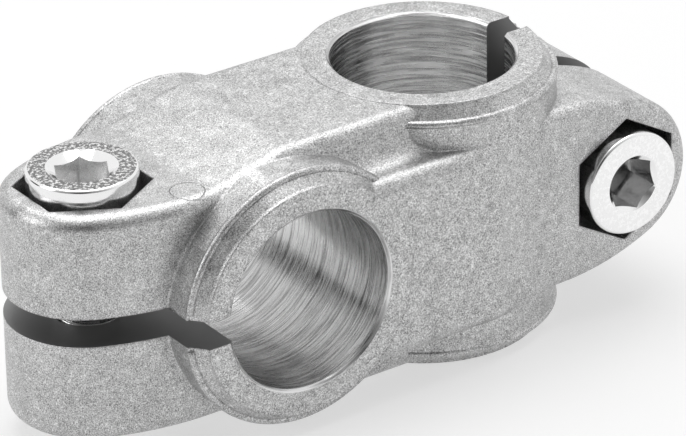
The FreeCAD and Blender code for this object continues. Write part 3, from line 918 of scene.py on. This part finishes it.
@dataclass
class CapScrew:
    """A hex socket cap screw in its lug, made along its own Z axis and then turned into place."""

    side: Side
    turn: float
    head_height: float
    mouth_radius: float
    offset: float = 33.6 * MM
    under_head: float = 7.3 * MM
    head_radius: float = 6.5 * MM
    edge_round: float = 0.4 * MM
    edge_steps: int = 6
    face_margin: float = 0.1 * MM
    seat_chamfer: float = 0.25 * MM
    mouth_angle: float = 36.0
    socket_width: float = 6.0 * MM
    socket_depth: float = 4.4 * MM
    # Every corner of the socket is nearer to the axis than this.
    socket_reach: float = 3.55 * MM
    floor_scale: float = 0.98
    floor_rise: float = 0.05 * MM
    drill_radius: float = 2.6 * MM
    drill_depth: float = 0.8 * MM
    drill_tip: float = 0.05 * MM
    shank_radius: float = 4.0 * MM
    shank_length: float = 20.0 * MM
    plain_length: float = 0.8 * MM
    neck_length: float = 1.3 * MM
    tip_length: float = 0.4 * MM
    tip_chamfer: float = 0.5 * MM
    thread_pitch: float = 1.25 * MM
    thread_depth: float = 0.62 * MM
    thread_gap: float = 1.0 * MM
    thread_points: int = 40
    # The ridge swells from this share of its height within this share of its length.
    run_out_height: float = 0.05
    run_out_share: float = 0.04
    sharp_angle: float = 28.0
    face_slack: float = 0.02 * MM
    steps: int = 96

    def place(self) -> Matrix:
        """Find the matrix that takes the screw from its own axes to its lug.

        Returns:
            The matrix.
        """
        turned = Matrix.Rotation(math.radians(self.turn), 4, "Z")
        if self.side is Side.LEVEL:
            return Matrix.Translation((-self.offset, 0, 0)) @ turned
        return Matrix.Translation((self.offset, 0, 0)) @ TOP_TO_FRONT @ turned

    def thread_tree(self) -> bpy.types.NodeTree:
        """Build the tree: a ridge swept along a helix, which runs out into the core at both ends.

        Returns:
            The tree.
        """
        tree, source = new_tree("thread", ("Radius", "Pitch", "Length", "Depth"))
        turns = add_node(
            tree,
            "ShaderNodeMath",
            {"operation": "DIVIDE"},
            {0: source.outputs["Length"], 1: source.outputs["Pitch"]},
        )
        core = add_node(
            tree,
            "ShaderNodeMath",
            {"operation": "SUBTRACT"},
            {0: source.outputs["Radius"], 1: source.outputs["Depth"]},
        )
        helix = add_node(
            tree,
            "GeometryNodeCurveSpiral",
            {"Resolution": self.thread_points},
            {
                "Rotations": turns.outputs[0],
                "Start Radius": core.outputs[0],
                "End Radius": core.outputs[0],
                "Height": source.outputs["Length"],
            },
        )
        upright = add_node(tree, "GeometryNodeSetCurveNormal", {"mode": "Z_UP"}, {"Curve": helix.outputs[0]})
        along = add_node(tree, "GeometryNodeSplineParameter")
        from_end = add_node(
            tree,
            "ShaderNodeMath",
            {"operation": "PINGPONG", 1: 0.5},
            {0: along.outputs["Factor"]},
        )
        swell = add_node(
            tree,
            "ShaderNodeMapRange",
            {"From Min": 0.0, "From Max": self.run_out_share, "To Min": self.run_out_height, "To Max": 1.0},
            {"Value": from_end.outputs[0]},
        )
        # The ridge is a square on its corner: half of it stands out of the core.
        width = add_node(
            tree,
            "ShaderNodeMath",
            {"operation": "MULTIPLY", 1: 2.0},
            {0: source.outputs["Depth"]},
        )
        ridge = add_node(
            tree,
            "GeometryNodeCurvePrimitiveQuadrilateral",
            {"mode": "KITE"},
            {
                "Width": width.outputs[0],
                "Bottom Height": source.outputs["Depth"],
                "Top Height": source.outputs["Depth"],
            },
        )
        swept = add_node(
            tree,
            "GeometryNodeCurveToMesh",
            {"Fill Caps": True},
            {"Curve": upright.outputs[0], "Profile Curve": ridge.outputs[0], "Scale": swell.outputs[0]},
        )
        close_tree(tree, source, swept.outputs[0])
        return tree

    def thread(self, plating: bpy.types.Material) -> bpy.types.Object:
        """Build the screw's thread, from its tip to just under the head.

        Args:
            plating: The screw's plating.

        Returns:
            The finished piece.
        """
        values = {
            "Radius": self.shank_radius,
            "Pitch": self.thread_pitch,
            "Length": self.shank_length - self.thread_gap - self.neck_length,
            "Depth": self.thread_depth,
            "Material": plating,
        }
        foot = Matrix.Translation((0, 0, self.under_head - self.shank_length + self.thread_gap))
        return grown(self.thread_tree(), f"{self.side.value}_screw_thread", values, self.place() @ foot)

    def angles(self) -> list[float]:
        """Return the angles of a ring's points."""
        return [math.tau * k / self.steps for k in range(self.steps)]

    def ring(self, radius: float, height: float) -> list[Vector]:
        """Lay out one round ring of points.

        Args:
            radius: Its radius.
            height: Its height along the screw's axis.

        Returns:
            The points, in order round the axis.
        """
        return [Vector((radius * math.cos(a), radius * math.sin(a), height)) for a in self.angles()]

    def hex_ring(self, scale: float, height: float, rise: float) -> list[Vector]:
        """Lay out one ring of points on the socket's hexagon, whose first corner is at angle 0.

        Args:
            scale: The hexagon's size, as a share of the socket's.
            height: The height that a point at the socket mouth's edge would have.
            rise: How much higher a point is for each metre that it is further from the axis.

        Returns:
            The points, in order round the axis.
        """
        sector = math.radians(60)
        points = []
        for angle in self.angles():
            inside = (angle + sector / 2) % sector - sector / 2
            radius = self.socket_width / 2 / math.cos(abs(inside) - sector / 2) * scale
            level = height - (self.mouth_radius - radius) * rise
            points.append(Vector((radius * math.cos(angle), radius * math.sin(angle), level)))
        return points

    def rings(self) -> list[list[Vector]]:
        """Lay out all rings, from the drilled hole in the socket over the head and down to the tip.

        Returns:
            The rings, in order along the screw's outline.
        """
        top = self.under_head + self.head_height
        floor = top - self.socket_depth
        tip = self.under_head - self.shank_length
        core = self.shank_radius - self.thread_depth
        edge_centre = self.head_radius - self.edge_round
        bends = [math.radians(90 * k / self.edge_steps) for k in range(1, self.edge_steps + 1)]
        return [
            self.ring(self.drill_tip, floor - self.drill_depth),
            self.ring(self.drill_radius, floor),
            self.hex_ring(self.floor_scale, floor, rise=0.0),
            self.hex_ring(1.0, floor + self.floor_rise, rise=0.0),
            # Where the countersunk mouth meets the six walls, each wall ends in a scallop.
            self.hex_ring(1.0, top, rise=math.tan(math.radians(self.mouth_angle))),
            self.ring(self.mouth_radius, top),
            self.ring(edge_centre - self.face_margin, top),
            *(
                self.ring(
                    edge_centre + self.edge_round * math.sin(bend),
                    top - self.edge_round + self.edge_round * math.cos(bend),
                )
                for bend in bends
            ),
            self.ring(self.head_radius, self.under_head + self.seat_chamfer),
            self.ring(self.head_radius - self.seat_chamfer, self.under_head),
            self.ring(self.shank_radius, self.under_head),
            self.ring(self.shank_radius, self.under_head - self.plain_length),
            self.ring(core, self.under_head - self.neck_length),
            self.ring(core, tip + self.tip_length),
            self.ring(core - self.tip_chamfer, tip),
        ]

    def skinned(self, name: str) -> bpy.types.Mesh:
        """Span faces between the rings and close both ends.

        Args:
            name: The mesh's name.

        Returns:
            The closed mesh, on the screw's own axes.
        """
        shape = bmesh.new()
        rows = [[shape.verts.new(point) for point in ring] for ring in self.rings()]
        for low, high in zip(rows, rows[1:]):
            for k in range(self.steps):
                after = (k + 1) % self.steps
                shape.faces.new((low[k], low[after], high[after], high[k]))
        shape.faces.new(list(reversed(rows[0])))
        shape.faces.new(rows[-1])
        bmesh.ops.recalc_face_normals(shape, faces=shape.faces)
        limit = math.radians(self.sharp_angle)
        for face in shape.faces:
            face.smooth = True
        for edge in shape.edges:
            edge.smooth = edge.calc_face_angle(0.0) < limit
        mesh = bpy.data.meshes.new(name)
        shape.to_mesh(mesh)
        shape.free()
        return mesh

    def build(self, finishes: dict[ScrewFinish, bpy.types.Material]) -> bpy.types.Object:
        """Build the screw.

        Args:
            finishes: The plating, and its forms on the head's face and in the broached socket.

        Returns:
            The finished piece.
        """
        name = f"{self.side.value}_cap_screw"
        mesh = self.skinned(name)
        for number in ScrewFinish:
            mesh.materials.append(finishes[number])
        face_level = self.under_head + self.head_height - self.face_slack
        for face in mesh.polygons:
            corners = [mesh.vertices[k].co for k in face.vertices]
            if all(corner.z > face_level for corner in corners):
                face.material_index = ScrewFinish.HEAD_FACE
            elif all(corner.xy.length < self.socket_reach for corner in corners):
                face.material_index = ScrewFinish.SOCKET
        mesh.transform(self.place())
        return new_piece(name, mesh)


@dataclass
class HexNut:
    """The nut in the hexagonal pocket at the far side of its lug."""

    side: Side
    sharp_angle: float = 30.0

    def build(self, node: bpy.types.Object, plating: bpy.types.Material) -> bpy.types.Object:
        """Build the dressed nut.

        Args:
            node: The nut's own node.
            plating: The nut's plating.

        Returns:
            The finished piece.
        """
        nut = merged_copy(node, f"{self.side.value}_hex_nut", self.sharp_angle)
        nut.data.materials.append(plating)
        return nut


@dataclass(frozen=True)
class Shade:
    """A darker part of the room, which dims the light from there.

    The dimming starts and is full where the cosine of the angle to the direction has these values.
    """

    towards: Triple
    start: float
    full: float
    darkest: float


@dataclass(frozen=True)
class SoftBox:
    """A square soft lamp that faces the connector, with its size in metres and its power in watts."""

    name: str
    spot: Triple
    size: float
    power: float

    def build(self) -> None:
        """Hang the lamp."""
        data = bpy.data.lights.new(self.name, "AREA")
        data.shape = "SQUARE"
        data.size = self.size
        data.energy = self.power
        lamp = bpy.data.objects.new(self.name, data)
        bpy.context.scene.collection.objects.link(lamp)
        lamp.location = self.spot
        lamp.rotation_mode = "QUATERNION"
        lamp.rotation_quaternion = Vector(self.spot).to_track_quat("Z", "Y")


@dataclass
class Studio:
    """Pale floor, white background, soft lamps and the camera at the photograph's angle."""

    # The camera: angles in degrees, and the focal length in pixels of a frame this wide.
    azimuth: float = -35.096
    elevation: float = 27.175
    roll: float = -0.879
    focal: float = 4994.2
    frame_width: int = 686
    sensor_width: float = 36.0
    clip: Pair = (0.01, 20.0)
    # Where the camera sees the origin: to its right, upwards and towards it, in millimetres.
    origin_seen: Triple = (-1.935, 0.567, -588.95)
    floor_height: float = -17.0 * MM
    floor_half: float = 1.5
    floor_colour: str = "#BCBCBC"
    floor_glow: float = 0.55
    # Pieces are lit by this share of the light that their reflections show.
    fill: float = 0.5
    near_side: Shade = Shade((-0.6, -0.79, 0.1), start=0.1, full=0.9, darkest=0.3)
    # A curtain behind and to the left, whose reflection is the dark band across the level bore.
    curtain: Shade = Shade((-0.662, 0.729, 0.17), start=0.945, full=0.985, darkest=0.0)
    lamps: tuple[SoftBox, ...] = (
        SoftBox("overhead", (0.1, 0.15, 0.7), size=0.6, power=2.7),
        SoftBox("left", (-0.7, 0.2, 0.35), size=0.35, power=1.2),
    )

    def axes(self) -> Matrix:
        """Find the camera's right, up and back directions.

        Returns:
            The directions, as the rows of a matrix.
        """
        azimuth = math.radians(self.azimuth)
        elevation = math.radians(self.elevation)
        roll = math.radians(self.roll)
        right = Vector((math.cos(azimuth), math.sin(azimuth), 0))
        back = Vector(
            (
                math.sin(azimuth) * math.cos(elevation),
                -math.cos(azimuth) * math.cos(elevation),
                math.sin(elevation),
            )
        )
        up = back.cross(right)
        turned_right = right * math.cos(roll) + up * math.sin(roll)
        turned_up = up * math.cos(roll) - right * math.sin(roll)
        return Matrix((turned_right, turned_up, back))

    def camera(self) -> None:
        """Set the camera at the photograph's angle."""
        data = bpy.data.cameras.new("camera")
        data.sensor_width = self.sensor_width
        data.lens = self.focal * self.sensor_width / self.frame_width
        data.clip_start, data.clip_end = self.clip
        eye = bpy.data.objects.new("camera", data)
        bpy.context.scene.collection.objects.link(eye)
        turn = self.axes().transposed()
        origin = turn @ (Vector(self.origin_seen) * MM)
        eye.matrix_world = Matrix.Translation(-origin) @ turn.to_4x4()
        bpy.context.scene.camera = eye

    def floor(self) -> None:
        """Lay a plain pale floor under the connector."""
        mesh = bpy.data.meshes.new("floor")
        half = self.floor_half
        corners = [(-half, -half), (half, -half), (half, half), (-half, half)]
        mesh.from_pydata([(x, y, self.floor_height) for x, y in corners], [], [(0, 1, 2, 3)])
        # White paper, whose own glow lifts it to the background's white and keeps the shadow.
        material, output = new_material("white_paper_floor")
        tree = material.node_tree
        paper = add_node(tree, "ShaderNodeBsdfDiffuse", {"Color": linear(self.floor_colour)})
        glow = add_node(tree, "ShaderNodeEmission", {"Strength": self.floor_glow})
        lit = add_node(tree, "ShaderNodeMixShader", {}, {0: self.seen_rays(tree), 2: glow.outputs[0]})
        both = add_node(tree, "ShaderNodeAddShader", {}, {0: paper.outputs[0], 1: lit.outputs[0]})
        tree.links.new(both.outputs[0], output.inputs[0])
        mesh.materials.append(material)
        new_piece("floor", mesh)

    def seen_rays(self, tree: bpy.types.NodeTree) -> bpy.types.NodeSocket:
        """Tell the rays from the camera, off gloss or through glass from those that only light a surface.

        Args:
            tree: The tree that gets the nodes.

        Returns:
            The socket, which is 1 for those rays and 0 for the others.
        """
        path = add_node(tree, "ShaderNodeLightPath")
        first = add_node(
            tree,
            "ShaderNodeMath",
            {"operation": "MAXIMUM"},
            {0: path.outputs["Is Camera Ray"], 1: path.outputs["Is Glossy Ray"]},
        )
        second = add_node(
            tree,
            "ShaderNodeMath",
            {"operation": "MAXIMUM"},
            {0: first.outputs[0], 1: path.outputs["Is Transmission Ray"]},
        )
        return second.outputs[0]

    def room_light(self, tree: bpy.types.NodeTree) -> bpy.types.NodeSocket:
        """Work out how much light comes from each direction of the room.

        Args:
            tree: The world's tree.

        Returns:
            The socket, which is 1 where nothing shades the room.
        """
        place = add_node(tree, "ShaderNodeTexCoord")
        around_camera = Shade(tuple(self.axes()[2]), start=0.93, full=0.975, darkest=0.05)
        light = None
        for shade in (self.near_side, self.curtain, around_camera):
            facing = add_node(
                tree,
                "ShaderNodeVectorMath",
                {"operation": "DOT_PRODUCT", 1: shade.towards},
                {0: place.outputs["Generated"]},
            )
            dimmed = add_node(
                tree,
                "ShaderNodeMapRange",
                {
                    "interpolation_type": "SMOOTHSTEP",
                    "From Min": shade.start,
                    "From Max": shade.full,
                    "To Min": 1.0,
                    "To Max": shade.darkest,
                },
                {"Value": facing.outputs["Value"]},
            ).outputs[0]
            if light is None:
                light = dimmed
            else:
                both = add_node(tree, "ShaderNodeMath", {"operation": "MULTIPLY"}, {0: light, 1: dimmed})
                light = both.outputs[0]
        return light

    def world(self) -> None:
        """Give a white background and a soft light that is dimmer from the camera's side of the room."""
        world = bpy.data.worlds.new("studio")
        world.use_nodes = True
        tree = world.node_tree
        tree.nodes.clear()
        output = add_node(tree, "ShaderNodeOutputWorld")
        light = self.room_light(tree)
        share = add_node(tree, "ShaderNodeMath", {"operation": "MULTIPLY", 1: self.fill}, {0: light})
        paint = {"Color": linear("#FFFFFF")}
        fill = add_node(tree, "ShaderNodeBackground", paint, {"Strength": share.outputs[0]})
        shine = add_node(tree, "ShaderNodeBackground", paint, {"Strength": light})
        white = add_node(tree, "ShaderNodeBackground", paint | {"Strength": 1.0})
        path = add_node(tree, "ShaderNodeLightPath")
        mix = add_node(
            tree,
            "ShaderNodeMixShader",
            {},
            {0: self.seen_rays(tree), 1: fill.outputs[0], 2: shine.outputs[0]},
        )
        seen = add_node(
            tree,
            "ShaderNodeMixShader",
            {},
            {0: path.outputs["Is Camera Ray"], 1: mix.outputs[0], 2: white.outputs[0]},
        )
        tree.links.new(seen.outputs[0], output.inputs[0])
        bpy.context.scene.world = world

    def build(self) -> None:
        """Build the whole studio."""
        bpy.context.scene.view_settings.view_transform = "Standard"
        self.camera()
        self.floor()
        self.world()
        for lamp in self.lamps:
            lamp.build()


def main() -> None:
    """Build every piece, dress it, and report it."""
    logging.basicConfig(level=logging.INFO, format="%(message)s")
    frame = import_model()
    nodes = frame["nodes"]
    body = Casting()
    casting = body.build(nodes["clamp_body"])
    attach(casting, "clamp")
    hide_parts("clamp_body")
    report(casting)
    skin = casting.data.materials[CastingFinish.SKIN]
    plating = BrightPlating().material()
    sockets = {
        Side.LEVEL: BrightPlating("broached_nickel_plate", colour="#EAEAEA", pitting=0.06, roughness=0.22),
        Side.UPRIGHT: BrightPlating("polished_nickel_plate", colour="#CCCCCC", roughness=0.12),
    }
    head_faces = {
        Side.LEVEL: BrightPlating("pitted_nickel_plate", pitting=0.8, roughness=0.2),
        Side.UPRIGHT: BrightPlating("scuffed_nickel_plate", colour="#FAFAFA", pitting=0.08),
    }
    screws = (
        CapScrew(Side.LEVEL, turn=3.0, head_height=9.1 * MM, mouth_radius=4.2 * MM),
        CapScrew(Side.UPRIGHT, turn=41.0, head_height=8.5 * MM, mouth_radius=3.62 * MM),
    )
    for maker in screws:
        side = maker.side
        shoulder = Shoulder(side, body.axis_offset).build(skin)
        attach(shoulder, "clamp")
        report(shoulder)
        thread = maker.thread(plating)
        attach(thread, f"{side.value}_screw")
        report(thread)
        screw = maker.build(
            {
                ScrewFinish.PLATING: plating,
                ScrewFinish.HEAD_FACE: head_faces[side].material(),
                ScrewFinish.SOCKET: sockets[side].material(),
            }
        )
        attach(screw, f"{side.value}_screw")
        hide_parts(f"{side.value}_clamp_screw")
        report(screw)
        nut = HexNut(side).build(nodes[f"{side.value}_clamp_nut"], plating)
        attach(nut, "clamp")
        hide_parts(f"{side.value}_clamp_nut")
        report(nut)
    Studio().build()


if __name__ == "__main__":
    main()
